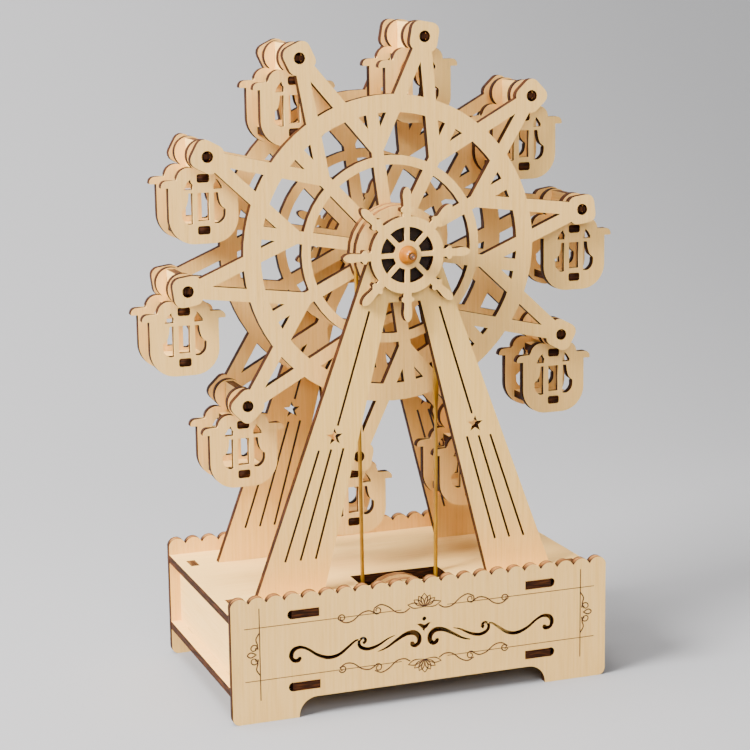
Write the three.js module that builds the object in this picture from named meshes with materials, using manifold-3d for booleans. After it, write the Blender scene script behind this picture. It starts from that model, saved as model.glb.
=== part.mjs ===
// A wooden Ferris wheel kit, cut from plywood and driven by a wind-up movement in its base.
// Millimetres. X runs to the right, Y to the back and Z up. The origin lies on the table,
// under the middle of the base.

import * as THREE from 'three'
import { mergeVertices } from 'three/addons/utils/BufferGeometryUtils.js'
import Module from 'manifold-3d'

const wasm = await Module()
wasm.setup()

// ---------------------------------------------------------------- driving dimensions

const ply = 3               // thickness of the sheet that every flat piece is cut from
const fit = 0.15            // clearance on each side of a tab in its slot
const running = 0.3         // clearance between two faces that turn past each other
const journal = 0.1         // clearance around a shaft that turns in a hole

// Base box
const baseWidth = 140
const baseDepth = 84
const baseHeight = 44.5
const deckTop = 38.5
const shelfTop = 12.7
const cornerRadius = 2.5
const scallopCount = 22
const scallopRise = 2.6
const footWidth = 23.7
const archHeight = 6.8
const archFillet = 6.5
const tabInset = 20         // from the end of the panel to the round end of a tab slot
const tabLength = 9.9
const sideInset = 3.85      // from the end of the deck to the side panel
const sideTabLength = 7
const sideTabSpacing = 51

// Towers
const towerSpread = 111.4   // over the outer corners of the feet
const towerInside = 61.8    // between the inner corners of the feet
const apexRadius = 11.6
const notchDrop = 16.6      // from the hub down to the top of the gap between the legs
const notchWidth = 11.8
const towerTabLength = 10
const slitWidth = 0.8
const starRadius = 3.1

// Wheel
const armCount = 10
const firstArm = THREE.MathUtils.degToRad(79.9)
const pinRadius = 74.3
const rimOuter = 53.9
const rimInner = 47.7
const ringOuter = 33
const ringInner = 29.7
const legMeeting = 35.3     // radius where the legs of two neighbouring arms meet
const legWidth = 4.5
const spokeWidth = 4.4
const bossHalf = 5.1        // half the width of the square boss round each pin
const bossCorner = 2.9
const hubRadius = 11
const discGap = 25.8        // clear distance between the two wheel discs
const washerLength = 3.6    // from the rear disc to the rear A-frame, less the running gap
const wheelClearance = 12.8 // between the deck and the lowest point that a gondola reaches
const spacerRadius = 4
const axleRadius = 1
const bore = axleRadius + fit

// Ship's wheel ornaments
const helmTip = 23.3
const helmRingOuter = 13.4
const helmRingInner = 9.7
const helmBoss = 5
const helmHandles = 8
const helmSpokeWidth = 1.85
const rearHelmTurn = THREE.MathUtils.degToRad(20)

// Caps on the ends of the axle
const capLength = 4.4
const capBase = 3.3
const capTip = 1.7

// Pulleys and rubber band
const flangeRadius = 16.5
const grooveDepth = 2.2
const driveFlangeRadius = 14.5
const driveGrooveDepth = 1.2
const bandWidth = 1.85
const bandThickness = 0.9

// Gondolas, measured from the pin that each one hangs on
const gondolaDepth = 19.2   // over the faces of its two panels
const gondolaHalfWidth = 12.2
const lobeRadius = 5.4
const shoulderX = 5.1
const eaveZ = -8.1
const eaveThickness = 2.5
const eaveReach = 14.7
const gondolaBottom = -30
const upperSlotZ = -7.7
const lowerSlotZ = -25.4
const windowTop = -12.6
const windowBottom = -22.2
const windowCusp = -18.6     // where the side windows are widest
const slotHalfWidth = 2.25
const windowBarWidth = 1.45
const gondolaCorner = 9
const beamHeight = 4.4
const beamMiddle = 9.6
const pinHeight = 1.6
const pinHoleRadius = 2.05

// Wind-up movement
const drumRadius = 6.5
const drumLength = 19
const barrelRadius = 11
const barrelHeight = 16
const barrelY = 22.5
const bedplateThickness = 2
const keyStemRadius = 1.75
const keyHole = 2.4
const keyWidth = 16
const keySocketDepth = 4
const keyGripRadius = 2.8
const keyGripThickness = 2
const keyGripZ = 4          // height of the middle of the grip
const lugThickness = 1.5
const lugHalfWidth = 5
const lugRise = 4           // from the middle of the drum to the top of a lug
const bedplateLeft = -20
const bedplateRight = 24
const barrelChamfer = 2
const combTeeth = 9
const combThickness = 1.2
const combMargin = 0.5      // from the end of the drum to the side of the comb
const combEnd = 22          // the three lengths along X from the middle of the drum
const combFoot = 14
const toothRoot = 13
const toothGap = 0.6

// ---------------------------------------------------------------- places that follow

const hubHeight = deckTop + wheelClearance - gondolaBottom + pinRadius
const towerGap = discGap + washerLength + 5 * ply + 2 * running   // between the two A-frames
const grooveRadius = flangeRadius - grooveDepth
const driveGrooveRadius = driveFlangeRadius - driveGrooveDepth
const driveHeight = deckTop - driveFlangeRadius - 0.1
const frontFrameY = -towerGap / 2 - ply
const rearFrameY = towerGap / 2
const frontHelmY = frontFrameY - running - ply
const rearHelmY = rearFrameY + ply + running
const frontFlangeY = -towerGap / 2 + running
const coreY = frontFlangeY + ply
const rearFlangeY = coreY + ply
const frontDiscY = rearFlangeY + ply
const rearDiscY = frontDiscY + ply + discGap
const gondolaY = frontDiscY + ply + discGap / 2
const frontPanelY = gondolaY - gondolaDepth / 2
const rearPanelY = gondolaY + gondolaDepth / 2 - ply
const deckDepth = baseDepth - 2 * ply
const windowFront = frontFlangeY - ply
const windowBack = rearFlangeY + ply + 1.2
const windowHalfWidth = driveFlangeRadius + 2.2
const shoulderRadius = Math.hypot(shoulderX, eaveZ) - lobeRadius

// ---------------------------------------------------------------- outlines

const point = (x, y) => new THREE.Vector2(x, y)
const polar = (radius, angle) => point(radius * Math.cos(angle), radius * Math.sin(angle))

function arc(x, y, radius, from, to, steps) {
  const curve = new THREE.EllipseCurve(x, y, radius, radius, from, to, to < from)
  return curve.getPoints(steps)
}

function circle(x, y, radius, steps) {
  return arc(x, y, radius, 0, 2 * Math.PI, steps).slice(0, -1)
}

function rectangle(x0, x1, y0, y1) {
  return [point(x0, y0), point(x1, y0), point(x1, y1), point(x0, y1)]
}

function bar(from, to, width) {
  const side = to.clone().sub(from).rotateAround(point(0, 0), Math.PI / 2).setLength(width / 2)
  return [from.clone().add(side), from.clone().sub(side), to.clone().sub(side), to.clone().add(side)]
}

function mirrored(points) {
  return points.map((p) => point(-p.x, p.y)).reverse()
}

// ---------------------------------------------------------------- solids

const alongX = new THREE.Vector3(1, 0, 0)
const alongY = new THREE.Vector3(0, 1, 0)
const alongZ = new THREE.Vector3(0, 0, 1)

// Extrudes an outline upward from z, without points that repeat their neighbour.
function extrude(outline, depth, z = 0) {
  const points = outline.filter((p, i) => {
    return p.distanceTo(outline[(i + 1) % outline.length]) > 1e-4
  })
  const settings = { depth, bevelEnabled: false }
  return new THREE.ExtrudeGeometry(new THREE.Shape(points), settings).translate(0, 0, z)
}

function manifold(geometry) {
  const bare = geometry.clone()
  bare.deleteAttribute('normal')
  bare.deleteAttribute('uv')
  const welded = mergeVertices(bare, 1e-4)
  const vertProperties = Float32Array.from(welded.attributes.position.array)
  const triVerts = Uint32Array.from(welded.index.array)
  return new wasm.Manifold(new wasm.Mesh({ numProp: 3, vertProperties, triVerts }))
}

function combine(added, removed = []) {
  const joined = added.map(manifold).reduce((a, b) => a.add(b))
  const cut = removed.map(manifold).reduce((a, b) => a.subtract(b), joined)
  const mesh = cut.asOriginal().simplify(0.001).getMesh()
  const geometry = new THREE.BufferGeometry()
  geometry.setAttribute('position', new THREE.BufferAttribute(mesh.vertProperties, 3))
  geometry.setIndex(new THREE.BufferAttribute(mesh.triVerts, 1))
  geometry.computeVertexNormals()
  return geometry
}

// A flat piece as it comes from the sheet: outlines joined together, with holes cut out.
function sheet(outlines, holes = [], thickness = ply) {
  const punches = holes.map((hole) => extrude(hole, thickness + 2, -1))
  return combine(outlines.map((outline) => extrude(outline, thickness)), punches)
}

// Stands a sheet up across the model, facing forward, with its front face at y.
function standing(plate, y) {
  const turn = new THREE.Matrix4().makeBasis(alongX, alongZ, alongY.clone().negate())
  const stood = plate.clone().applyMatrix4(turn)
  stood.computeBoundingBox()
  return stood.translate(0, y - stood.boundingBox.min.y, 0)
}

// Stands a sheet up along the model, with its left face at x.
function sideways(plate, x) {
  const turn = new THREE.Matrix4().makeBasis(alongY, alongZ, alongX)
  return plate.clone().applyMatrix4(turn).translate(x, 0, 0)
}

// Lays a sheet flat, with its underside at z.
function lying(plate, z) {
  return plate.clone().translate(0, 0, z)
}

function block(x0, x1, y0, y1, z0, z1) {
  const middle = [(x0 + x1) / 2, (y0 + y1) / 2, (z0 + z1) / 2]
  return new THREE.BoxGeometry(x1 - x0, y1 - y0, z1 - z0).translate(...middle)
}

// Turned about a line along Y; profile points are [radius, y].
function turned(profile, steps) {
  return new THREE.LatheGeometry(profile.map(([r, y]) => point(r, y)), steps)
}

// ---------------------------------------------------------------- scene graph

const finishes = {
  plywood: { color: '#e3c49c', roughness: 0.75, metalness: 0 },
  steel: { color: '#b9bcc0', roughness: 0.3, metalness: 1 },
  brass: { color: '#c9a24a', roughness: 0.35, metalness: 1 },
  cap: { color: '#f79a2e', roughness: 0.45, metalness: 0 },
  band: { color: '#d9952b', roughness: 0.5, metalness: 0 },
}

const model = new THREE.Group()
const wheel = new THREE.Group()
wheel.position.z = hubHeight
model.add(wheel)

function place(group, name, geometry, finish = 'plywood') {
  const mesh = new THREE.Mesh(geometry, new THREE.MeshStandardMaterial(finishes[finish]))
  mesh.name = name
  group.add(mesh)
}

// ---------------------------------------------------------------- base box

// Slot for a tab of the deck or the shelf: the end nearest the corner of the box is round.
function panelSlot(side, z) {
  const end = baseWidth / 2 - tabInset
  const radius = ply / 2 + fit
  const outline = [
    point(end - radius - tabLength, z - radius),
    ...arc(end - radius, z, radius, -Math.PI / 2, Math.PI / 2, 6),
    point(end - radius - tabLength, z + radius),
  ]
  return side > 0 ? outline : mirrored(outline)
}

function boxPanel(y) {
  const half = baseWidth / 2
  const archHalf = half - footWidth
  const archZ = archHeight - archFillet
  const pitch = baseWidth / scallopCount
  const bumpRadius = pitch ** 2 / (8 * scallopRise) + scallopRise / 2
  const bumpZ = baseHeight - bumpRadius
  const bumpStart = Math.asin((bumpRadius - scallopRise) / bumpRadius)
  const right = [
    point(archHalf, 0),
    ...arc(half - cornerRadius, cornerRadius, cornerRadius, -Math.PI / 2, 0, 3),
  ]
  const top = []
  for (let i = 0; i < scallopCount; i += 1) {
    const x = half - (i + 0.5) * pitch
    top.push(...arc(x, bumpZ, bumpRadius, bumpStart, Math.PI - bumpStart, 4))
  }
  const arch = [
    ...arc(-archHalf + archFillet, archZ, archFillet, Math.PI, Math.PI / 2, 5),
    ...arc(archHalf - archFillet, archZ, archFillet, Math.PI / 2, 0, 5),
  ]
  const holes = []
  for (const side of [-1, 1]) {
    for (const z of [deckTop - ply / 2, shelfTop - ply / 2]) {
      holes.push(panelSlot(side, z))
    }
  }
  const outline = [...right, ...top, ...mirrored(right), ...arch]
  return standing(sheet([outline], holes), y)
}

// Deck and shelf share one outline, with two tabs into each long panel.
function floorOutline() {
  const halfX = baseWidth / 2
  const halfY = deckDepth / 2
  const tabStart = halfX - tabInset - ply / 2 - tabLength
  const tabEnd = tabStart + tabLength - fit
  const back = [
    point(halfX, halfY),
    point(tabEnd, halfY),
    point(tabEnd, halfY + ply),
    point(tabStart, halfY + ply),
    point(tabStart, halfY),
  ]
  const backLine = [...back, ...mirrored(back)]
  const frontLine = backLine.map((p) => point(p.x, -p.y)).reverse()
  return [...backLine, ...frontLine]
}

function sideSlots() {
  const x = baseWidth / 2 - sideInset - ply
  const slots = []
  for (const side of [-1, 1]) {
    for (const y of [-sideTabSpacing / 2, sideTabSpacing / 2]) {
      const half = sideTabLength / 2 + fit
      const slot = rectangle(x - fit, x + ply + fit, y - half, y + half)
      slots.push(side > 0 ? slot : mirrored(slot))
    }
  }
  return slots
}

function towerSlots() {
  const middle = (towerSpread + towerInside) / 4
  const half = towerTabLength / 2 + fit
  const slots = []
  for (const side of [-1, 1]) {
    for (const y of [frontFrameY, rearFrameY]) {
      slots.push(rectangle(side * middle - half, side * middle + half, y - fit, y + ply + fit))
    }
  }
  return slots
}

const pulleyWindow = rectangle(-windowHalfWidth, windowHalfWidth, windowFront, windowBack)

function sidePanel(x) {
  const halfY = deckDepth / 2
  const low = shelfTop
  const high = deckTop - ply
  const outline = [point(-halfY, low)]
  const tabs = [-sideTabSpacing / 2, sideTabSpacing / 2]
  for (const y of tabs) {
    outline.push(point(y - sideTabLength / 2, low), point(y - sideTabLength / 2, low - ply))
    outline.push(point(y + sideTabLength / 2, low - ply), point(y + sideTabLength / 2, low))
  }
  outline.push(point(halfY, low), point(halfY, high))
  for (const y of tabs.reverse()) {
    outline.push(point(y + sideTabLength / 2, high), point(y + sideTabLength / 2, high + ply))
    outline.push(point(y - sideTabLength / 2, high + ply), point(y - sideTabLength / 2, high))
  }
  outline.push(point(-halfY, high))
  return sideways(sheet([outline]), x)
}

const sidePanelX = baseWidth / 2 - sideInset - ply
const keyOpening = circle(0, barrelY, keyHole, 12)

place(model, 'front_panel', boxPanel(-baseDepth / 2))
place(model, 'back_panel', boxPanel(baseDepth / 2 - ply))
place(model, 'left_side_panel', sidePanel(-sidePanelX - ply))
place(model, 'right_side_panel', sidePanel(sidePanelX))
const deckHoles = [...sideSlots(), ...towerSlots(), pulleyWindow]
place(model, 'deck', lying(sheet([floorOutline()], deckHoles), deckTop - ply))
const shelfHoles = [...sideSlots(), pulleyWindow, keyOpening]
place(model, 'bottom_shelf', lying(sheet([floorOutline()], shelfHoles), shelfTop - ply))

// ---------------------------------------------------------------- A-frames

// Middle of the right leg at height z, and half the width of the leg there.
const footOuter = towerSpread / 2
const footInner = towerInside / 2
const outerReach = Math.hypot(footOuter, hubHeight - deckTop)
const toFoot = Math.atan2(deckTop - hubHeight, footOuter)
const tangent = toFoot + Math.acos(apexRadius / outerReach)
const notchZ = hubHeight - notchDrop

function outerEdge(z) {
  return footOuter - (z - deckTop) * Math.tan(tangent)
}

function innerEdge(z) {
  const slope = (footInner - notchWidth / 2) / (notchZ - deckTop)
  return footInner - (z - deckTop) * slope
}

// Point on the right leg: across runs from 0 at the inner edge to 1 at the outer edge.
function onLeg(z, across) {
  return point(innerEdge(z) + across * (outerEdge(z) - innerEdge(z)), z)
}

function star(centre, radius) {
  const points = []
  for (let i = 0; i < 10; i += 1) {
    const angle = Math.PI / 2 + (i * Math.PI) / 5
    points.push(polar(i % 2 ? radius * 0.4 : radius, angle).add(centre))
  }
  return points
}

function frameSlits() {
  const leg = notchZ - deckTop
  const high = deckTop + 0.585 * leg
  const holes = [
    bar(onLeg(high, 0.5), onLeg(deckTop + 0.975 * leg, 0.5), slitWidth),
    star(onLeg(deckTop + 0.547 * leg, 0.5), starRadius),
  ]
  for (const across of [0.26, 0.5, 0.74]) {
    const low = onLeg(deckTop + 0.12 * leg, across)
    holes.push(bar(low, onLeg(deckTop + 0.504 * leg, across), slitWidth))
  }
  return [...holes, ...holes.map(mirrored)]
}

function frame(y) {
  const tabX = (footOuter + footInner) / 2
  const right = [
    point(notchWidth / 2, notchZ),
    point(footInner, deckTop),
    point(tabX - towerTabLength / 2, deckTop),
    point(tabX - towerTabLength / 2, deckTop - ply),
    point(tabX + towerTabLength / 2, deckTop - ply),
    point(tabX + towerTabLength / 2, deckTop),
    point(footOuter, deckTop),
  ]
  const apex = arc(0, hubHeight, apexRadius, tangent, Math.PI - tangent, 12)
  const holes = [circle(0, hubHeight, axleRadius + journal, 12), ...frameSlits()]
  return standing(sheet([[...right, ...apex, ...mirrored(right)]], holes), y)
}

place(model, 'front_a_frame', frame(frontFrameY))
place(model, 'rear_a_frame', frame(rearFrameY))

// ---------------------------------------------------------------- wheel

const armAngle = (arm) => firstArm + (arm * 2 * Math.PI) / armCount
const halfStep = Math.PI / armCount

// Square with round corners about a pin, in line with the arm.
function boss(pin, angle) {
  const inner = bossHalf - bossCorner
  const corner = (x, y, start) => arc(x, y, bossCorner, start, start + Math.PI / 2, 4)
  const outline = [
    ...corner(inner, inner, 0),
    ...corner(-inner, inner, Math.PI / 2),
    ...corner(-inner, -inner, Math.PI),
    ...corner(inner, -inner, -Math.PI / 2),
  ]
  return outline.map((p) => p.rotateAround(point(0, 0), angle).add(pin))
}

function wheelDisc() {
  const outlines = [circle(0, 0, hubRadius, 20)]
  const holes = [circle(0, 0, bore, 12)]
  for (let arm = 0; arm < armCount; arm += 1) {
    const angle = armAngle(arm)
    const pin = polar(pinRadius, angle)
    outlines.push(boss(pin, angle))
    holes.push(circle(pin.x, pin.y, pinHoleRadius, 14))
    for (const side of [-1, 1]) {
      outlines.push(bar(pin, polar(legMeeting, angle + side * halfStep), legWidth))
    }
    const spokeEnd = polar((rimOuter + rimInner) / 2, angle + halfStep)
    outlines.push(bar(point(0, 0), spokeEnd, spokeWidth))
  }
  const rim = sheet([circle(0, 0, rimOuter, 72)], [circle(0, 0, rimInner, 72)])
  const ring = sheet([circle(0, 0, ringOuter, 48)], [circle(0, 0, ringInner, 48)])
  return combine([rim, ring, sheet(outlines, holes)])
}

const discPlate = wheelDisc()
place(wheel, 'front_wheel_disc', standing(discPlate, frontDiscY))
place(wheel, 'rear_wheel_disc', standing(discPlate, rearDiscY))

// Round plate with a bore for the axle, from y to y + length.
function roundPlate(radius, y, length = ply, steps = 28, z = 0) {
  return standing(sheet([circle(0, z, radius, steps)], [circle(0, z, bore, 8)], length), y)
}

const spacerY = frontDiscY + ply
place(wheel, 'hub_flange_front', roundPlate(flangeRadius, frontFlangeY))
place(wheel, 'hub_core', roundPlate(grooveRadius, coreY))
place(wheel, 'hub_flange_rear', roundPlate(flangeRadius, rearFlangeY))
place(wheel, 'hub_spacer', roundPlate(spacerRadius, spacerY, discGap, 16))
place(wheel, 'rear_washer', roundPlate(spacerRadius, rearDiscY + ply, washerLength, 16))

// ---------------------------------------------------------------- axle, caps and helms

const axleEnd = rearHelmY + ply + capLength + 0.7

function cap(y, direction) {
  const profile = [[bore, 0], [capBase, 0], [capBase, 0.9], [capTip, capLength], [bore, capLength]]
  const closed = [...profile, profile[0]].map(([r, along]) => [r, along * direction])
  const outward = direction > 0 ? closed : closed.reverse()
  return turned(outward, 16).translate(0, y, 0)
}

const axle = new THREE.CylinderGeometry(axleRadius, axleRadius, 2 * axleEnd, 12)
place(wheel, 'axle', axle, 'steel')
place(wheel, 'front_cap', cap(frontHelmY, -1), 'cap')
place(wheel, 'rear_cap', cap(rearHelmY + ply, 1), 'cap')

// Half the width of a helm handle at each radius, from the ring out to the tip.
const handleProfile = [
  [helmRingOuter - 0.3, 1.35],
  [14.6, 1.35],
  [15, 2.3],
  [16.2, 2.3],
  [16.6, 1.35],
  [19.4, 1.55],
  [22.2, 1.4],
  [helmTip, 0.6],
]

function helm(turn) {
  const step = (2 * Math.PI) / helmHandles
  const outline = []
  const holes = [circle(0, 0, bore, 8)]
  for (let i = 0; i < helmHandles; i += 1) {
    const angle = turn + i * step
    const side = (sign) => handleProfile.map(([r, half]) => {
      return point(r, sign * half).rotateAround(point(0, 0), angle)
    })
    outline.push(...side(-1), ...side(1).reverse())
    outline.push(polar(helmRingOuter, angle + step / 2))
    const inner = Math.asin(helmSpokeWidth / 2 / helmBoss)
    const outer = Math.asin(helmSpokeWidth / 2 / helmRingInner)
    holes.push([
      ...arc(0, 0, helmRingInner, angle + outer, angle + step - outer, 3),
      ...arc(0, 0, helmBoss, angle + step - inner, angle + inner, 1),
    ])
  }
  return sheet([outline], holes)
}

place(wheel, 'front_helm', standing(helm(0), frontHelmY))
place(wheel, 'rear_helm', standing(helm(rearHelmTurn), rearHelmY))

// ---------------------------------------------------------------- gondolas

// Right half of a panel's outline, from the top down to the middle of the bottom.
function gondolaOutline() {
  const meeting = Math.atan2(eaveZ, shoulderX)
  const drop = eaveThickness * 0.8
  const cornerX = gondolaHalfWidth - gondolaCorner
  const cornerZ = gondolaBottom + gondolaCorner
  return [
    ...arc(0, 0, lobeRadius, Math.PI / 2, meeting, 5),
    ...arc(shoulderX, eaveZ, shoulderRadius, Math.PI + meeting, 0, 4),
    ...arc(eaveReach - drop, eaveZ - drop, drop, Math.PI / 2, 0, 4),
    point(eaveReach, eaveZ - eaveThickness),
    point(gondolaHalfWidth, eaveZ - eaveThickness),
    ...arc(cornerX, cornerZ, gondolaCorner, 0, -Math.PI / 2, 4),
  ]
}

function gondolaHoles() {
  const barOuter = slotHalfWidth + windowBarWidth
  const sill = windowBottom - 1
  const sideWindow = [
    point(barOuter, windowTop),
    point(5.3, windowTop),
    point(5.8, windowCusp + 2),
    point(7.8, windowCusp),
    point(7.4, windowCusp - 2.2),
    point(5.6, sill),
    point(barOuter, sill),
  ]
  const spandrel = [
    point(4.4, upperSlotZ - 1.2),
    point(6.7, windowTop + 1.1),
    point(3.6, windowTop + 1.1),
  ]
  const slot = (z) => rectangle(-slotHalfWidth, slotHalfWidth, z - ply / 2, z + ply / 2)
  const beam = beamHeight / 2 + fit
  return [
    rectangle(-ply / 2 - fit, ply / 2 + fit, -beam, beam),
    slot(upperSlotZ),
    slot(lowerSlotZ),
    rectangle(-slotHalfWidth, slotHalfWidth, windowBottom, windowTop),
    sideWindow,
    mirrored(sideWindow),
    spandrel,
    mirrored(spandrel),
  ]
}

// The beam lies on edge along Y: a pin at each end, narrow through the panels, tall between.
function beamOutline() {
  const pinEnd = discGap / 2 + ply - 0.4
  const shoulder = discGap / 2 - running
  const inside = gondolaDepth / 2 - ply
  const top = [
    point(inside, beamMiddle / 2),
    point(inside, beamHeight / 2),
    point(shoulder, beamHeight / 2),
    point(shoulder, pinHeight / 2),
    point(pinEnd, pinHeight / 2),
  ]
  const right = [...top, ...top.map((p) => point(p.x, -p.y)).reverse()]
  return [...right, ...mirrored(right)].map((p) => point(p.x + gondolaY, p.y))
}

const panelOutline = gondolaOutline()
const panelPlate = sheet([[...panelOutline, ...mirrored(panelOutline)]], gondolaHoles())
const beamPlate = sheet([beamOutline()])

for (let arm = 0; arm < armCount; arm += 1) {
  const name = `gondola_${String(arm + 1).padStart(2, '0')}`
  const pin = polar(pinRadius, armAngle(arm))
  const gondola = new THREE.Group()
  gondola.position.set(pin.x, 0, pin.y)
  wheel.add(gondola)
  place(gondola, `${name}_front_panel`, standing(panelPlate, frontPanelY))
  place(gondola, `${name}_rear_panel`, standing(panelPlate, rearPanelY))
  place(gondola, `${name}_axle_beam`, sideways(beamPlate, -ply / 2))
}

// ---------------------------------------------------------------- drive pulley and band

// Outline of a belt pressed outward by grow from the two grooves that it runs on.
function beltOutline(grow) {
  const upper = grooveRadius + grow
  const lower = driveGrooveRadius + grow
  const lean = Math.asin((upper - lower) / (hubHeight - driveHeight))
  return [
    ...arc(0, hubHeight, upper, -lean, Math.PI + lean, 20),
    ...arc(0, driveHeight, lower, Math.PI + lean, 2 * Math.PI - lean, 20),
  ]
}

const band = sheet([beltOutline(fit + bandThickness)], [beltOutline(fit)], bandWidth)
place(model, 'rubber_band', standing(band, coreY + (ply - bandWidth) / 2), 'band')

const driveDisc = (radius, y) => roundPlate(radius, y, ply, 28, driveHeight)
place(model, 'drive_flange_front', driveDisc(driveFlangeRadius, frontFlangeY))
place(model, 'drive_core', driveDisc(driveGrooveRadius, coreY))
place(model, 'drive_flange_rear', driveDisc(driveFlangeRadius, rearFlangeY))

// ---------------------------------------------------------------- wind-up movement

const bedTop = shelfTop + bedplateThickness
const drumEnd = drumLength / 2
const frontLugY = -drumEnd - running - lugThickness
const rearLugY = drumEnd + running
const lugTop = driveHeight + lugRise

function bedplate() {
  const lug = (y) => {
    return block(-lugHalfWidth, lugHalfWidth, y, y + lugThickness, shelfTop + 0.5, lugTop)
  }
  const arborHoles = extrude(circle(0, driveHeight, axleRadius + journal, 12), drumLength + 6)
  const outline = rectangle(bedplateLeft, bedplateRight, frontLugY, barrelY + barrelRadius)
  const plate = lying(sheet([outline], [keyOpening], bedplateThickness), shelfTop)
  const lugs = [lug(frontLugY), lug(rearLugY)]
  return combine([plate, ...lugs], [standing(arborHoles, frontLugY - 1)])
}

// Spring housing, open underneath for the winding key.
function barrel() {
  const profile = [
    [keyHole, 0],
    [barrelRadius, 0],
    [barrelRadius, barrelHeight - barrelChamfer],
    [barrelRadius - barrelChamfer, barrelHeight],
    [0, barrelHeight],
    [0, keySocketDepth],
    [keyHole, keySocketDepth],
    [keyHole, 0],
  ]
  return turned(profile, 24).rotateX(Math.PI / 2).translate(0, barrelY, bedTop)
}

function drum() {
  const profile = [
    [0, frontFlangeY - 1],
    [axleRadius, frontFlangeY - 1],
    [axleRadius, -drumEnd],
    [drumRadius, -drumEnd],
    [drumRadius, drumEnd],
    [axleRadius, drumEnd],
    [axleRadius, rearLugY + lugThickness],
    [0, rearLugY + lugThickness],
  ]
  return turned(profile, 20).translate(0, 0, driveHeight)
}

function comb() {
  const tipX = drumRadius + running
  const side = drumEnd - combMargin
  const pitch = (drumLength - 2 * combMargin) / combTeeth
  const top = driveHeight + combThickness / 2
  const bottom = driveHeight - combThickness / 2
  const added = [
    block(tipX, combEnd, -side, side, bottom, top),
    block(combFoot, combEnd, -side, side, bedTop, bottom + 0.1),
  ]
  const removed = []
  for (let i = 1; i < combTeeth; i += 1) {
    const y = i * pitch - side
    const gapEnds = [y - toothGap / 2, y + toothGap / 2]
    removed.push(block(tipX - 1, toothRoot, ...gapEnds, bottom - 1, top + 1))
  }
  return combine(added, removed)
}

function windingKey() {
  const stemBottom = keyGripZ + 1
  const stemTop = bedTop + keySocketDepth - 2 * running
  const stemLength = stemTop - stemBottom
  const stem = new THREE.CylinderGeometry(keyStemRadius, keyStemRadius, stemLength, 16)
  stem.rotateX(Math.PI / 2).translate(0, barrelY, stemBottom + stemLength / 2)
  const gripX = keyWidth / 2 - keyGripRadius
  const wing = [
    ...arc(gripX, keyGripZ, keyGripRadius, -Math.PI / 2, Math.PI / 2, 8),
    point(keyGripThickness, keyGripZ + 2),
  ]
  const outline = [...wing, ...mirrored(wing)]
  const gripY = barrelY - keyGripThickness / 2
  return combine([stem, standing(sheet([outline], [], keyGripThickness), gripY)])
}

place(model, 'movement_bedplate', bedplate(), 'steel')
place(model, 'spring_barrel', barrel(), 'brass')
place(model, 'music_drum', drum(), 'brass')
place(model, 'music_comb', comb(), 'steel')
place(model, 'winding_key', windingKey(), 'steel')

export default model
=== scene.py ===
# %% [markdown]
# # A laser-cut wooden Ferris wheel
# The model is a kit: flat parts cut from 3 mm basswood plywood, pushed together with tabs and
# slots, and turned by a rubber band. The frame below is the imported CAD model. It fixes every
# size and place, and the cells after it give each part its cut edges, engraving and finish.

# %% Load the frame
import math

import bpy
from mathutils import Matrix, Vector
from mathutils.geometry import interpolate_bezier


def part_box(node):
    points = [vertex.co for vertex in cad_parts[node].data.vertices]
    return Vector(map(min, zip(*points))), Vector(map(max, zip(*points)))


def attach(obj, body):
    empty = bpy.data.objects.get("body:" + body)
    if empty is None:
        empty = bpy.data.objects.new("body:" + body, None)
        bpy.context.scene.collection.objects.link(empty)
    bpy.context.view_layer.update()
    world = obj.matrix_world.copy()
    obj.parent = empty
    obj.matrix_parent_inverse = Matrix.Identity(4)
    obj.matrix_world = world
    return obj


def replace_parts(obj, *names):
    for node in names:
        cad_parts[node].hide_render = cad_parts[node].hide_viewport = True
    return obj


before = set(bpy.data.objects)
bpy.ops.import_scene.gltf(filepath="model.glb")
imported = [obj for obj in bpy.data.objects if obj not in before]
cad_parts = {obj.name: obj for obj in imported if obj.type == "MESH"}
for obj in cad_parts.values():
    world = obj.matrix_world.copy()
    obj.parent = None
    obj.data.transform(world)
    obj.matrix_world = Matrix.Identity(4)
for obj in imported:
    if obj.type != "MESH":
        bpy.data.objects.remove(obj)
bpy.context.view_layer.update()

MM = 0.001

# %% [markdown]
# Sizes that several parts share are read from the frame, so that a new part always meets the
# old ones. Lengths are in millimetres until a piece is finished, because Blender's curve
# filling works better on shapes of some size than on shapes of a thousandth of a unit.

# %% Sizes from the frame


def low(node):
    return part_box(node)[0] / MM


def high(node):
    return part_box(node)[1] / MM


PLY = (high("deck") - low("deck")).z
HUB = Vector(((low("axle") + high("axle")) / 2).to_tuple())
BASE_WIDTH = high("front_panel").x - low("front_panel").x
BASE_HEIGHT = high("front_panel").z
DECK_TOP = high("deck").z
SHELF_TOP = high("bottom_shelf").z
FRONT_Y = low("front_panel").y
BACK_Y = low("back_panel").y
print("sheet", round(PLY, 2), "hub height", round(HUB.z, 2), "base width", round(BASE_WIDTH, 2))

# %% [markdown]
# ## Camera
# The camera stands to the left of the front panel and a little above it. A long lens keeps
# the wheel nearly round.

# %% Camera
AIM = Vector((-1.85, 0, 108.6)) * MM
AZIMUTH = math.radians(-20.13)
ELEVATION = math.radians(11.3)
ROLL = math.radians(-0.7)
DISTANCE = 730 * MM
LENS = 97.5

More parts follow.
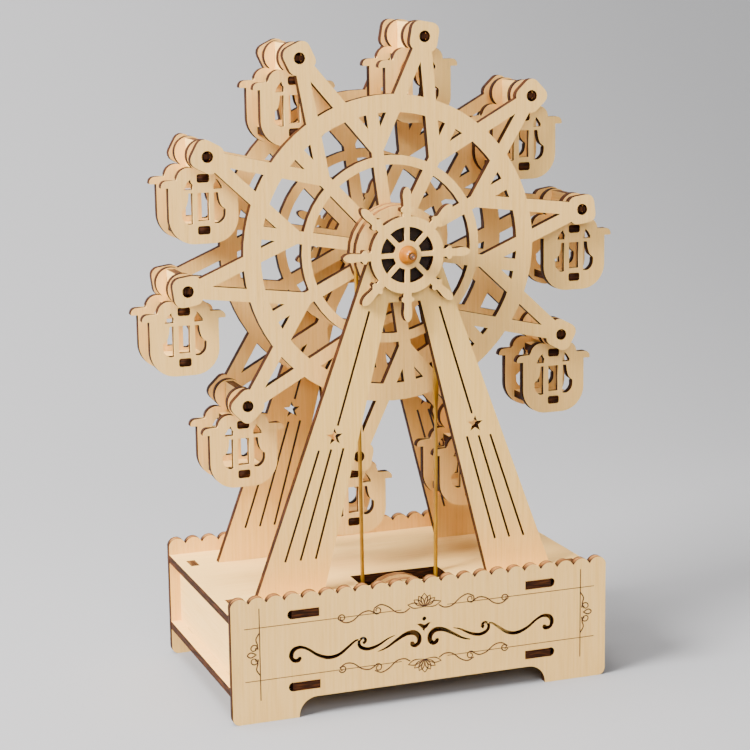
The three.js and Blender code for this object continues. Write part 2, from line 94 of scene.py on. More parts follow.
away = Vector((
    math.sin(AZIMUTH) * math.cos(ELEVATION),
    -math.cos(AZIMUTH) * math.cos(ELEVATION),
    math.sin(ELEVATION),
))
camera_data = bpy.data.cameras.new("camera")
camera_data.lens = LENS
camera_data.sensor_width = 36
camera_data.clip_end = 20
camera = bpy.data.objects.new("camera", camera_data)
bpy.context.scene.collection.objects.link(camera)
camera.location = AIM + away * DISTANCE
facing = (-away).to_track_quat("-Z", "Y").to_matrix() @ Matrix.Rotation(ROLL, 3, "Z")
camera.rotation_euler = facing.to_euler()
bpy.context.scene.camera = camera
print("camera at", [round(v, 3) for v in camera.location])

# %% [markdown]
# ## Drawing and cutting
# A laser follows a flat drawing. Each part is drawn the same way here: a closed outline with
# holes becomes a filled 2D curve, the curve gets the sheet's thickness and is turned into a
# mesh, and the mesh is stood up in its place. Round stretches are arcs, and free shapes are
# smooth lines through a few given points.

# %% Outlines


def arc(x, y, radius, start, end, steps=12):
    """Points on a circle, from one angle to another, in degrees."""
    angles = [math.radians(start + (end - start) * i / steps) for i in range(steps + 1)]
    return [(x + radius * math.cos(a), y + radius * math.sin(a)) for a in angles]


def bar(x0, x1, y0, y1, radius=0.0, steps=4):
    """A rectangle, with round corners if a radius is given."""
    if not radius:
        return [(x0, y0), (x1, y0), (x1, y1), (x0, y1)]
    corners = [(x1, y0, 270), (x1, y1, 0), (x0, y1, 90), (x0, y0, 180)]
    points = []
    for x, y, start in corners:
        inward_x = x + (radius if x == x0 else -radius)
        inward_y = y + (radius if y == y0 else -radius)
        points += arc(inward_x, inward_y, radius, start, start + 90, steps)
    return points


def mirrored(points):
    return [(-p[0], *p[1:]) for p in reversed(points)]


def smooth_line(points, steps=8):
    """A smooth line through all the points, of any number of dimensions up to three."""
    line = [Vector((*p, 0, 0)[:3]) for p in points]
    ends = [line[0] * 2 - line[1], *line, line[-1] * 2 - line[-2]]
    smooth = [line[0]]
    for before, start, end, after in zip(ends, ends[1:], ends[2:], ends[3:]):
        leave = start + (end - before) / 6
        arrive = end - (after - start) / 6
        smooth += interpolate_bezier(start, leave, arrive, end, steps + 1)[1:]
    return [tuple(p) for p in smooth]


def stroke(points, steps=8):
    """The outline of a pen stroke: each point is (x, y, width)."""
    line = smooth_line(points, steps)
    left, right = [], []
    for i, (x, y, width) in enumerate(line):
        before = Vector(line[max(i - 1, 0)][:2])
        after = Vector(line[min(i + 1, len(line) - 1)][:2])
        across = (after - before).orthogonal().normalized() * width / 2
        left.append((x + across.x, y + across.y))
        right.append((x - across.x, y - across.y))
    return left + right[::-1]


def curl(x, y, radius, start, turn, width, end_width):
    """A spiral that winds inward: the centre line's points with their widths."""
    steps = max(4, round(abs(turn) / 40))
    points = []
    for i in range(steps + 1):
        part = i / steps
        reach = radius * (1 - 0.62 * part)
        angle = math.radians(start + turn * part)
        across = width + (end_width - width) * part
        points.append((x + reach * math.cos(angle), y + reach * math.sin(angle), across))
    return points


# %% [markdown]
# A part could also be a box with holes taken out by booleans. Filling a drawing is quicker
# and gives clean edges, and it is how the real part is described to the laser. Lines that
# are turned into a mesh leave doubled points, so these are merged before normals are set.

# %% Cutting


def deselect():
    if bpy.context.object and bpy.context.object.mode != "OBJECT":
        bpy.ops.object.mode_set(mode="OBJECT")
    bpy.ops.object.select_all(action="DESELECT")


def pick(piece):
    deselect()
    piece.select_set(True)
    bpy.context.view_layer.objects.active = piece


def drawn(name, outlines, dimensions="2D"):
    """A curve object with a closed line for each outline."""
    drawing = bpy.data.curves.new(name, "CURVE")
    drawing.dimensions = dimensions
    for outline in outlines:
        spline = drawing.splines.new("POLY")
        spline.points.add(len(outline) - 1)
        spline.use_cyclic_u = True
        for point, place in zip(spline.points, outline):
            point.co = (*(*place, 0)[:3], 1)
    piece = bpy.data.objects.new(name, drawing)
    bpy.context.scene.collection.objects.link(piece)
    return piece


def as_mesh(piece):
    pick(piece)
    bpy.ops.object.convert(target="MESH")
    return bpy.context.object


def tidy_shell(piece, gap):
    """Merges points closer than gap and turns every face outwards."""
    pick(piece)
    bpy.ops.object.mode_set(mode="EDIT")
    bpy.ops.mesh.select_all(action="SELECT")
    bpy.ops.mesh.remove_doubles(threshold=gap)
    bpy.ops.mesh.normals_make_consistent(inside=False)
    bpy.ops.object.mode_set(mode="OBJECT")
    return piece


def cut_sheet(name, outlines, thickness=None):
    """A flat part in X and Y from its outlines, in millimetres, centred on its thickness."""
    clean = [
        [p for p, q in zip(line, line[1:] + line[:1]) if math.dist(p, q) > 1e-4]
        for line in outlines
    ]
    piece = drawn(name, clean)
    piece.data.fill_mode = "BOTH"
    piece.data.extrude = (thickness or PLY) / 2
    piece = as_mesh(piece)
    piece.name = name
    return tidy_shell(piece, 1e-4)


def settle(piece, place, turn=(0, 0, 0)):
    """Turns a piece drawn in millimetres, moves it to its place and applies both in metres."""
    pick(piece)
    piece.rotation_euler = turn
    piece.scale = (MM, MM, MM)
    piece.location = Vector(place) * MM
    bpy.ops.object.transform_apply(location=True, rotation=True, scale=True)
    return piece


UPRIGHT = (math.pi / 2, 0, 0)


def copy_of(piece, name, shift):
    """A copy with a mesh of its own, moved by shift in millimetres."""
    twin = piece.copy()
    twin.data = piece.data.copy()
    twin.name = name
    bpy.context.scene.collection.objects.link(twin)
    pick(twin)
    twin.location = Vector(shift) * MM
    bpy.ops.object.transform_apply(location=True, rotation=False, scale=False)
    return twin


def give(piece, material):
    piece.data.materials.clear()
    piece.data.materials.append(material)


# %% [markdown]
# ## Finishes
# Basswood plywood is pale cream with a fine straight grain. The laser chars every cut edge
# brown, darker along the glue lines between the plies. One material holds both: it looks at
# the surface's direction, and where that lies along the sheet it is a cut edge. The grain
# runs along one axis of the sheet, and each fibre pattern is scaled from real millimetres.

# %% Colours and nodes


def colour(hex_value):
    """Linear colour from an sRGB hex value such as 'E3C49C'."""
    channels = [int(hex_value[i:i + 2], 16) / 255 for i in (0, 2, 4)]
    linear = [c / 12.92 if c <= 0.04045 else ((c + 0.055) / 1.055) ** 2.4 for c in channels]
    return (*linear, 1)


def add(tree, kind, inputs=None, stops=(), **settings):
    """Adds a node; inputs holds values or other nodes' outputs, stops a ramp's colours."""
    node = tree.nodes.new(kind)
    for name, value in settings.items():
        setattr(node, name, value)
    for name, value in (inputs or {}).items():
        if isinstance(value, bpy.types.NodeSocket):
            tree.links.new(value, node.inputs[name])
        else:
            node.inputs[name].default_value = value
    for i, (position, hex_value) in enumerate(stops):
        elements = node.color_ramp.elements
        stop = elements[i] if i < len(elements) else elements.new(1)
        stop.position = position
        stop.color = colour(hex_value)
    return node


def new_material(name):
    material = bpy.data.materials.new(name)
    material.use_nodes = True
    tree = material.node_tree
    return material, tree, tree.nodes["Principled BSDF"]


# %% [markdown]
# A picture of wood would need unwrapping and would stretch round the edges. Noise that is
# stretched along the grain costs nothing to place, and it runs on across the whole sheet.
# Real fibres are finer than this: they are drawn as coarse as they need to be to show.

# %% Plywood

FIBRE_WIDTH = 0.35          # mm across the grain
FIBRE_LENGTH = 22           # mm along the grain
FIGURE_WIDTH = 9            # mm between the soft bands of early and late wood
FIGURE_LENGTH = 160
PLY_STEP = 0.55             # mm between the streaks across a cut edge


def plywood(name, face_axis, grain_axis, tint, top_light_paint=0.25):
    """Laser-cut basswood plywood: sheet normal, grain, colours, painted highlight on top edges.
    """
    material, tree, shader = new_material(name)
    place = add(tree, "ShaderNodeTexCoord")

    def stretched(width, length, offset=0.0):
        scale = [1 / (width * MM)] * 3
        scale[grain_axis] = 1 / (length * MM)
        moved = add(tree, "ShaderNodeMapping", {
            "Vector": place.outputs["Object"],
            "Location": (offset, offset, offset),
            "Scale": tuple(scale),
        })
        return moved.outputs["Vector"]

    fibres = add(tree, "ShaderNodeTexNoise", {
        "Vector": stretched(FIBRE_WIDTH * 2.2, FIBRE_LENGTH),
        "Scale": 1.0, "Detail": 3.0, "Roughness": 0.6,
    }).outputs["Fac"]
    figure = add(tree, "ShaderNodeTexNoise", {
        "Vector": stretched(FIGURE_WIDTH, FIGURE_LENGTH, 4.0),
        "Scale": 1.0, "Detail": 2.0, "Roughness": 0.5, "Distortion": 0.4,
    }).outputs["Fac"]
    pores = add(tree, "ShaderNodeTexNoise", {
        "Vector": stretched(FIBRE_WIDTH, FIBRE_LENGTH / 5, 9.0),
        "Scale": 1.0, "Detail": 1.0,
    }).outputs["Fac"]
    light, middle, deep = tint
    wood = add(tree, "ShaderNodeValToRGB", {"Fac": fibres}, stops=[
        (0.22, deep), (0.5, middle), (0.8, light),
    ]).outputs["Color"]
    banded = add(tree, "ShaderNodeMix", {
        "Factor": add(tree, "ShaderNodeMath", {0: figure, 1: 0.55},
                      operation="MULTIPLY").outputs["Value"],
        "A": wood, "B": colour(middle),
    }, data_type="RGBA").outputs["Result"]
    pore_mask = add(tree, "ShaderNodeMapRange", {
        "Value": pores, "From Min": 0.66, "From Max": 0.74, "To Min": 0.0, "To Max": 0.22,
    }).outputs["Result"]
    face = add(tree, "ShaderNodeMix", {
        "Factor": pore_mask, "A": banded, "B": colour("A9794A"),
    }, data_type="RGBA").outputs["Result"]

    # Charred edge: streaks that follow the plies. Edges that face up on the standing model are
    # painted paler as painted light from above; the char itself is the same all round.
    edge_scale = [1 / (6 * MM)] * 3
    edge_scale[face_axis] = 1 / (PLY_STEP * MM)
    edge_place = add(tree, "ShaderNodeMapping", {
        "Vector": place.outputs["Object"], "Scale": tuple(edge_scale),
    }).outputs["Vector"]
    streaks = add(tree, "ShaderNodeTexNoise", {
        "Vector": edge_place, "Scale": 1.0, "Detail": 2.0,
    }).outputs["Fac"]
    char = add(tree, "ShaderNodeValToRGB", {"Fac": streaks}, stops=[
        (0.3, "140903"), (0.5, "2E1608"), (0.7, "4E2910"),
    ]).outputs["Color"]
    # Painted highlight: a paler brown for cut edges that face up, where light from above falls.
    painted_lit_edge = add(tree, "ShaderNodeValToRGB", {"Fac": streaks}, stops=[
        (0.32, "6A3F1C"), (0.5, "9A6535"), (0.7, "C08C4E"),
    ]).outputs["Color"]

    direction = add(tree, "ShaderNodeSeparateXYZ", {"Vector": place.outputs["Normal"]})
    # How much painted highlight an edge gets, from how far it faces up.
    upward = add(tree, "ShaderNodeMapRange", {
        "Value": direction.outputs["Z"], "From Min": 0.5, "From Max": 1.0, "To Max": top_light_paint,
    }).outputs["Result"]
    edge = add(tree, "ShaderNodeMix", {
        "Factor": upward, "A": char, "B": painted_lit_edge,
    }, data_type="RGBA").outputs["Result"]
    along = add(tree, "ShaderNodeMath", {0: direction.outputs[face_axis]},
                operation="ABSOLUTE").outputs["Value"]
    is_face = add(tree, "ShaderNodeMath", {0: along, 1: 0.7},
                  operation="GREATER_THAN").outputs["Value"]
    surface = add(tree, "ShaderNodeMix", {
        "Factor": is_face, "A": edge, "B": face,
    }, data_type="RGBA").outputs["Result"]
    grit = add(tree, "ShaderNodeBump", {
        "Strength": 0.35, "Distance": 0.06 * MM, "Height": fibres,
    }).outputs["Normal"]
    gloss = add(tree, "ShaderNodeMapRange", {
        "Value": is_face, "To Min": 0.08, "To Max": 0.4,
    }).outputs["Result"]
    tree.links.new(surface, shader.inputs["Base Color"])
    tree.links.new(gloss, shader.inputs["Specular IOR Level"])
    tree.links.new(grit, shader.inputs["Normal"])
    shader.inputs["Roughness"].default_value = 0.62
    shader.inputs["IOR"].default_value = 1.5
    return material


X_AXIS, Y_AXIS, Z_AXIS = 0, 1, 2
HONEY = ("F4C878", "EABA64", "DDA84E")
BASSWOOD = ("F2C67E", "EABA68", "DFA955")
standing_ply = plywood("basswood_ply_upright", Y_AXIS, Z_AXIS, BASSWOOD, 0.0)
lying_ply = plywood("basswood_ply_flat", Z_AXIS, X_AXIS, BASSWOOD)
side_ply = plywood("basswood_ply_side", X_AXIS, Y_AXIS, BASSWOOD)
# The strongest painted highlight on upward edges, for the panels and the pulley discs.
painted_top_light_ply = plywood("basswood_ply_painted_lit_edges", Y_AXIS, Z_AXIS, BASSWOOD, 0.85)
honey_ply = plywood("basswood_ply_honey", Y_AXIS, Z_AXIS, HONEY, 0.1)
print("plywood:", [m.name for m in bpy.data.materials])

# %% [markdown]
# The other finishes are plain. Drawing and brushing leave fine lines in steel and brass,
# which spread their highlights. Rubber and moulded vinyl have a weak, soft gloss over
# slow changes of tone. Scorched wood and the discs behind the helms are dark and have no gloss
# at all.

# %% Metals, rubber and vinyl


def metal(name, hex_value, roughness, brushed_mm):
    material, tree, shader = new_material(name)
    place = add(tree, "ShaderNodeTexCoord").outputs["Object"]
    lines = add(tree, "ShaderNodeTexNoise", {
        "Vector": add(tree, "ShaderNodeMapping", {
            "Vector": place,
            "Scale": (1 / (brushed_mm * MM), 1 / (8 * MM), 1 / (brushed_mm * MM)),
        }).outputs["Vector"],
        "Scale": 1.0, "Detail": 2.0,
    }).outputs["Fac"]
    rough = add(tree, "ShaderNodeMapRange", {
        "Value": lines, "To Min": roughness * 0.8, "To Max": roughness * 1.25,
    }).outputs["Result"]
    tone = add(tree, "ShaderNodeMix", {
        "Factor": lines, "A": colour(hex_value),
        "B": tuple(0.8 * c for c in colour(hex_value)[:3]) + (1,),
    }, data_type="RGBA").outputs["Result"]
    tree.links.new(tone, shader.inputs["Base Color"])
    tree.links.new(rough, shader.inputs["Roughness"])
    shader.inputs["Metallic"].default_value = 1
    return material


def soft_plastic(name, stops, roughness, patch_mm):
    """Rubber or vinyl: slow changes of tone under a soft, weak gloss."""
    material, tree, shader = new_material(name)
    place = add(tree, "ShaderNodeTexCoord").outputs["Object"]
    patches = add(tree, "ShaderNodeTexNoise", {
        "Vector": place, "Scale": 1 / (patch_mm * MM), "Detail": 3.0,
    }).outputs["Fac"]
    tone = add(tree, "ShaderNodeValToRGB", {"Fac": patches}, stops=stops)
    tree.links.new(tone.outputs["Color"], shader.inputs["Base Color"])
    grain = add(tree, "ShaderNodeTexNoise", {
        "Vector": place, "Scale": 1 / (0.25 * MM), "Detail": 2.0,
    }).outputs["Fac"]
    bump = add(tree, "ShaderNodeBump", {
        "Strength": 0.2, "Distance": 0.03 * MM, "Height": grain,
    }).outputs["Normal"]
    tree.links.new(bump, shader.inputs["Normal"])
    shader.inputs["Roughness"].default_value = roughness
    shader.inputs["IOR"].default_value = 1.5
    shader.inputs["Specular IOR Level"].default_value = 0.3
    return material


def burnt(name, hex_light, hex_dark):
    """Dark, matt wood: the laser's scorch in an engraved line, and the discs behind the helms.
    """
    material, tree, shader = new_material(name)
    place = add(tree, "ShaderNodeTexCoord").outputs["Object"]
    spots = add(tree, "ShaderNodeTexNoise", {
        "Vector": place, "Scale": 1 / (1.5 * MM), "Detail": 3.0,
    }).outputs["Fac"]
    tone = add(tree, "ShaderNodeValToRGB", {"Fac": spots}, stops=[
        (0.35, hex_dark), (0.65, hex_light),
    ])
    tree.links.new(tone.outputs["Color"], shader.inputs["Base Color"])
    shader.inputs["Roughness"].default_value = 0.85
    return material


steel = metal("drawn_steel", "A5A4A3", 0.3, 0.15)
brass = metal("satin_brass", "C9A24A", 0.35, 0.2)
pin_copper = metal("worn_copper_pin_end", "A8704C", 0.4, 0.15)
band_rubber = soft_plastic(
    "natural_rubber_amber", [(0.3, "765000"), (0.7, "946A00")], 0.42, 6,
)
cap_vinyl = soft_plastic("orange_vinyl", [(0.3, "864800"), (0.7, "A05E00")], 0.32, 3)
scorched = burnt("laser_scorched_line", "5E3616", "341B0A")
dark_disc_finish = burnt("dark_disc_matt", "2E1A10", "170C06")
print("finishes:", [m.name for m in bpy.data.materials])

# %% [markdown]
# Each CAD part takes the finish of its sheet. Which plywood it gets depends on how the
# sheet stands, because the material has to know which faces are flat and which are cut.

# %% Finishes on the CAD parts
LYING = ("deck", "bottom_shelf")
SIDEWAYS = ("left_side_panel", "right_side_panel")
METAL = {
    "axle": steel, "movement_bedplate": steel, "music_comb": steel, "winding_key": steel,
    "spring_barrel": brass, "music_drum": brass,
}
for node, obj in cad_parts.items():
    if node in METAL:
        give(obj, METAL[node])
    elif node in LYING:
        give(obj, lying_ply)
    elif node in SIDEWAYS or node.endswith("axle_beam"):
        give(obj, side_ply)
    elif node == "rubber_band":
        give(obj, band_rubber)
    elif node.endswith("cap"):
        give(obj, cap_vinyl)
    elif node.endswith("a_frame"):
        give(obj, honey_ply)
    # The hub and drive pulley discs get the strongest painted highlight on upward edges.
    elif node.startswith(("hub_", "drive_")):
        give(obj, painted_top_light_ply)
    else:
        give(obj, standing_ply)
print("finished", len(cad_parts), "CAD parts")

# %% [markdown]
# ## Front and back panels
# Each long panel has a scalloped top, two feet, four tab slots and a scroll cut right
# through it. The scroll is drawn as pen strokes that swell and taper, and the right half
# mirrors the left. Thinner flourishes are only scorched into the face.

# %% Panel outline
SCALLOPS = 22
SCALLOP_RISE = 2.6
CORNER = 2.5
FOOT = 23.7
ARCH_HEIGHT = 6.8
ARCH_FILLET = 6.5
TAB_INSET = 20
TAB_LENGTH = 9.9
FIT = 0.15

HALF = BASE_WIDTH / 2
PITCH = BASE_WIDTH / SCALLOPS


def panel_outline():
    bump = PITCH ** 2 / (8 * SCALLOP_RISE) + SCALLOP_RISE / 2
    start = math.degrees(math.asin((bump - SCALLOP_RISE) / bump))
    arch = HALF - FOOT
    right = [(arch, 0.0)] + arc(HALF - CORNER, CORNER, CORNER, -90, 0, 6)
    top = []
    for i in range(SCALLOPS):
        x = HALF - (i + 0.5) * PITCH
        top += arc(x, BASE_HEIGHT - bump, bump, start, 180 - start, 12)
    low_z = ARCH_HEIGHT - ARCH_FILLET
    opening = arc(-arch + ARCH_FILLET, low_z, ARCH_FILLET, 180, 90, 8)
    opening += arc(arch - ARCH_FILLET, low_z, ARCH_FILLET, 90, 0, 8)
    return right + top + mirrored(right) + opening


def tab_slot(z):
    radius = PLY / 2 + FIT
    end = HALF - TAB_INSET - radius
    inner = end - TAB_LENGTH
    return [(inner, z - radius)] + arc(end, z, radius, -90, 90, 10) + [(inner, z + radius)]


# %% [markdown]
# The scroll is open right through, so one can look into the base. Each wave is a line with
# a width at every point, which swells and tapers more like a pen than an even line does.

# %% Scroll cut through the panel
# Left half of the scroll: (x, height, width of the stroke).
LONG_WAVE = [
    (-46.0, 21.7, 1.1), (-46.0, 20.9, 1.7), (-47.0, 20.4, 1.5), (-48.3, 20.9, 1.35),
    (-48.9, 22.6, 1.65), (-47.9, 24.5, 1.6), (-45.4, 25.1, 1.15), (-42.6, 23.9, 0.95),
    (-39.4, 21.6, 1.1), (-35.4, 20.1, 1.4), (-31.6, 20.7, 1.25), (-28.2, 23.0, 1.0),
    (-25.7, 24.8, 0.75), (-23.9, 25.2, 0.35),
]
SHORT_WAVE = [
    (-22.9, 23.6, 1.0), (-22.0, 24.1, 1.25), (-22.0, 25.0, 1.05), (-23.0, 25.5, 0.9),
    (-24.3, 24.4, 1.1), (-23.8, 22.4, 1.3), (-21.0, 21.3, 1.3), (-17.4, 22.1, 1.0),
    (-13.6, 24.1, 0.6), (-10.8, 25.0, 0.25),
]
MIDDLE_WAVE = [
    (-17.6, 19.8, 0.3), (-14.2, 20.9, 0.8), (-10.6, 23.0, 1.1), (-7.2, 24.8, 1.5),
    (-4.2, 25.1, 1.85), (-2.3, 23.7, 1.9), (-2.0, 21.6, 1.75), (-3.3, 20.3, 1.5),
    (-4.6, 20.9, 1.6), (-4.6, 21.9, 1.2),
]
DROP = [(0, 24.6), (-1.0, 26.4), (-2.9, 28.0), (-1.4, 28.1), (0, 27.4)]


def scroll_holes():
    holes = []
    for wave in (LONG_WAVE, SHORT_WAVE, MIDDLE_WAVE):
        outline = stroke(wave)
        holes += [outline, mirrored(outline)]
    drop = DROP + mirrored(DROP)[1:-1]
    return holes + [drop, arc(0, 29.6, 0.8, 0, 360, 16)[:-1]]


def plain_char_low_edges(piece, below):
    """Takes the painted highlight off cut edges under a height: painted shade in the scroll."""
    piece.data.materials.append(standing_ply)
    for face in piece.data.polygons:
        if abs(face.normal.y) < 0.5 and face.center.z < below * MM:
            face.material_index = 1


def long_panel(name, front_y):
    outlines = [panel_outline()]
    for z in (DECK_TOP - PLY / 2, SHELF_TOP - PLY / 2):
        outlines += [tab_slot(z), mirrored(tab_slot(z))]
    outlines += scroll_holes()
    return settle(cut_sheet(name, outlines), (0, front_y + PLY / 2, 0), UPRIGHT)


front = long_panel("front_panel_cut", FRONT_Y)
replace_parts(front, "front_panel")
back = long_panel("back_panel_cut", BACK_Y)
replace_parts(back, "back_panel")
for piece in (front, back):
    # Panels: strong painted highlight on upward edges such as the scallops, none low in the
    # scroll.
    give(piece, painted_top_light_ply)
    plain_char_low_edges(piece, BASE_HEIGHT - 5)
    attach(piece, "base")
print("panel faces:", len(front.data.polygons))

# %% [markdown]
# A laser scorches these flourishes into the face. They are drawn as strokes of one width
# that stand a hair proud of it instead, because a sunk line would have to be cut out of
# the whole panel. A fan of petals sits in the middle of each, and the border lines cross
# near the corners.

# %% Engraved lines
LINE = 0.46                 # mm, the width of the laser's scorch
PROUD = 0.03                # mm that a scorched line stands out of the face
BORDER_X = 60.0
BORDER_TOP = 40.6
BORDER_BOTTOM = 7.9
UPPER_LINE = 33.8
LOWER_LINE = 15.1
LINE_START = 65.4


def even(points, width=LINE):
    return [(x, z, width) for x, z in points]


def petal(x, z, degrees, reach, plump):
    """One pointed petal as a closed line from (x, z) and back."""
    tip = Vector((math.cos(math.radians(degrees)), math.sin(math.radians(degrees)))) * reach
    side = tip.orthogonal().normalized() * plump
    sides = []
    for sign in (-1, 1):
        middle = tip * 0.58 + side * sign
        sides.append([
            (x, z, LINE * 0.3), (x + middle.x, z + middle.y, LINE * 0.9),
            (x + tip.x, z + tip.y, LINE * 0.6),
        ])
    return sides


def petals(z, upward):
    """A fan of petals on the middle line, with a low pair reaching out to the sides."""
    sign = 1 if upward else -1
    fan = petal(0, z, 90 * sign, 4.9, 1.25)
    for degrees, reach, plump in ((62, 4.6, 0.95), (36, 4.9, 0.9), (12, 6.4, 0.95)):
        for side in (degrees, 180 - degrees):
            fan += petal(0, z, side * sign, reach, plump)
    return fan


def flourish(z, upward):
    """Half of a wavy flourish with a curl at each end, left of the middle."""
    sign = 1 if upward else -1
    wave = even([
        (-5.4, z + 0.3 * sign), (-7.6, z - 0.9 * sign), (-10.5, z - 0.5 * sign),
        (-13.4, z + 1.8 * sign), (-16.2, z + 2.9 * sign), (-18.6, z + 1.9 * sign),
    ])
    inner = curl(-17.3, z + 1.0 * sign, 1.5, 150, 430 * sign, LINE, LINE * 0.8)
    outer_wave = even([
        (-17.6, z - 0.4 * sign), (-20.4, z + 1.2 * sign), (-23.4, z + 0.6 * sign),
        (-26.4, z - 1.6 * sign), (-29.2, z - 2.0 * sign), (-31.6, z - 0.6 * sign),
    ])
    outer = curl(-30.4, z - 0.2 * sign, 1.4, 200, -430 * sign, LINE, LINE * 0.8)
    return [wave, inner, outer_wave, outer]


def side_curl():
    """Flourish beside the left border line: two curls with a leaf between them."""
    middle = (UPPER_LINE + LOWER_LINE) / 2
    lines = [
        even([(-BORDER_X, middle + 7.6), (-BORDER_X - 1.3, middle + 5.4),
              (-BORDER_X - 0.8, middle + 3.2), (-BORDER_X - 1.6, middle + 1.4)]),
        curl(-BORDER_X - 2.1, middle + 2.2, 1.5, -20, 400, LINE, LINE * 0.8),
        even([(-BORDER_X - 1.2, middle), (-BORDER_X - 3.2, middle + 0.9),
              (-BORDER_X - 4.4, middle), (-BORDER_X - 3.2, middle - 0.9),
              (-BORDER_X - 1.2, middle)]),
    ]
    flipped = [[(x, 2 * middle - z, w) for x, z, w in line] for line in lines[:2]]
    return lines + flipped


def border_lines():
    upright = even([(-BORDER_X, BORDER_BOTTOM), (-BORDER_X, BORDER_TOP)], LINE * 0.8)
    upper = even([(-LINE_START, UPPER_LINE), (-8.6, UPPER_LINE)], LINE * 0.55)
    lower = even([(-LINE_START, LOWER_LINE), (-8.6, LOWER_LINE)], LINE * 0.55)
    return [upright, upper, lower]


def engraving(name, face_y):
    left = flourish(UPPER_LINE, True) + flourish(LOWER_LINE, False)
    left += side_curl() + border_lines()
    strokes = [stroke(line, 5) for line in left]
    strokes += [mirrored(line) for line in strokes]
    middle = petals(UPPER_LINE + 0.2, True) + petals(LOWER_LINE - 0.2, False)
    strokes += [stroke(line, 5) for line in middle]
    pieces = []
    for i, outline in enumerate(strokes):
        piece = cut_sheet(f"{name}_{i}", [outline], 2 * PROUD)
        pieces.append(settle(piece, (0, face_y, 0), UPRIGHT))
    deselect()
    for piece in pieces:
        piece.select_set(True)
    bpy.context.view_layer.objects.active = pieces[0]
    bpy.ops.object.join()
    joined = bpy.context.object
    joined.name = name
    give(joined, scorched)
    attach(joined, "base")
    return joined


front_lines = engraving("front_engraving", FRONT_Y)
engraving("back_engraving", BACK_Y + PLY)
print("engraving faces:", len(front_lines.data.polygons))

# %% [markdown]
# ## Gondolas
# A gondola is two cut panels on an axle beam, with a floor and an upper tie whose tabs come
# through the panels. All ten are the same, so each part is made once and copied to the
# other pins.

# %% Gondola panel
LOBE = 5.4
SHOULDER_X = 5.1
EAVE_Z = -8.1
BODY_HALF = 12.2
GONDOLA_BOTTOM = low("gondola_01_front_panel").z
BODY_CORNER = 9
PIN = Vector((
    (low("gondola_01_axle_beam").x + high("gondola_01_axle_beam").x) / 2,
    0,
    (low("gondola_01_axle_beam").z + high("gondola_01_axle_beam").z) / 2,
))
BOTTOM = GONDOLA_BOTTOM - PIN.z
EAVE_REACH = high("gondola_01_front_panel").x - PIN.x
SLOT_HALF = 2.25
UPPER_SLOT = -7.7
LOWER_SLOT = -25.4
WINDOW_TOP = -12.6
WINDOW_BOTTOM = -22.2
WINDOW_CUSP = -18.6
BEAM_HALF = 2.2
EAVE_THICK = 2.5


def gondola_outline():
    meeting = math.degrees(math.atan2(EAVE_Z, SHOULDER_X))
    shoulder = math.hypot(SHOULDER_X, EAVE_Z) - LOBE
    drop = EAVE_THICK * 0.8
    eave = arc(EAVE_REACH - drop, EAVE_Z - drop, drop, 90, 0, 8)
    eave += arc(EAVE_REACH - 0.3, EAVE_Z - EAVE_THICK + 0.3, 0.3, 0, -90, 3)
    eave += [(BODY_HALF, EAVE_Z - EAVE_THICK)]
    right = arc(0, 0, LOBE, 90, meeting, 14)
    right += arc(SHOULDER_X, EAVE_Z, shoulder, 180 + meeting, 0, 10)
    right += eave
    right += arc(BODY_HALF - BODY_CORNER, BOTTOM + BODY_CORNER, BODY_CORNER, 0, -90, 12)
    return right + mirrored(right)


def gondola_holes():
    sill = WINDOW_BOTTOM - 1
    side = [(3.7, WINDOW_TOP), (5.1, WINDOW_TOP)]
    side += [p[:2] for p in smooth_line([
        (5.2, WINDOW_TOP - 0.1), (5.5, WINDOW_TOP - 2.6), (6.3, WINDOW_CUSP + 1.3),
        (7.9, WINDOW_CUSP),
    ], 5)]
    side += [p[:2] for p in smooth_line([
        (7.7, WINDOW_CUSP - 0.5), (7.6, WINDOW_CUSP - 2.2), (6.9, sill + 1.1),
        (5.6, sill + 0.1), (4.6, sill),
    ], 4)]
    side += [(3.7, sill)]
    ledge = WINDOW_TOP + 1.1
    spandrel = [(6.9, ledge), (6.6, ledge + 0.9), (5.6, ledge + 2.5), (4.5, ledge + 3.6)]
    spandrel += arc(2.0, UPPER_SLOT - 0.2, 2.5, 8, -52, 6)
    spandrel += [(3.6, ledge)]
    holes = [
        bar(-PLY / 2 - FIT, PLY / 2 + FIT, -BEAM_HALF - FIT, BEAM_HALF + FIT, 0.3, 2),
        bar(-SLOT_HALF, SLOT_HALF, UPPER_SLOT - PLY / 2, UPPER_SLOT + PLY / 2, 0.8),
        bar(-SLOT_HALF, SLOT_HALF, LOWER_SLOT - PLY / 2, LOWER_SLOT + PLY / 2, 0.8),
        bar(-SLOT_HALF + 0.2, SLOT_HALF - 0.2, WINDOW_BOTTOM, WINDOW_TOP),
        side, mirrored(side), spandrel, mirrored(spandrel),
    ]
    return holes


gondola_panel = settle(
    cut_sheet("gondola_panel", [gondola_outline()] + gondola_holes()),
    (PIN.x, low("gondola_01_front_panel").y + PLY / 2, PIN.z), UPRIGHT,
)
give(gondola_panel, standing_ply)
print("gondola panel faces:", len(gondola_panel.data.polygons))

# %% [markdown]
# The floor and the tie are small plates with a tab at each end. The shoulders of the tabs
# hold the two panels apart.

# %% Floor and tie
GAP_FRONT = high("gondola_01_front_panel").y
GAP_BACK = low("gondola_01_rear_panel").y
TAB_FRONT = low("gondola_01_front_panel").y
TAB_BACK = high("gondola_01_rear_panel").y
TAB_HALF = SLOT_HALF - FIT
TAB_REST = 0.25             # mm that a tab's end stays behind the face


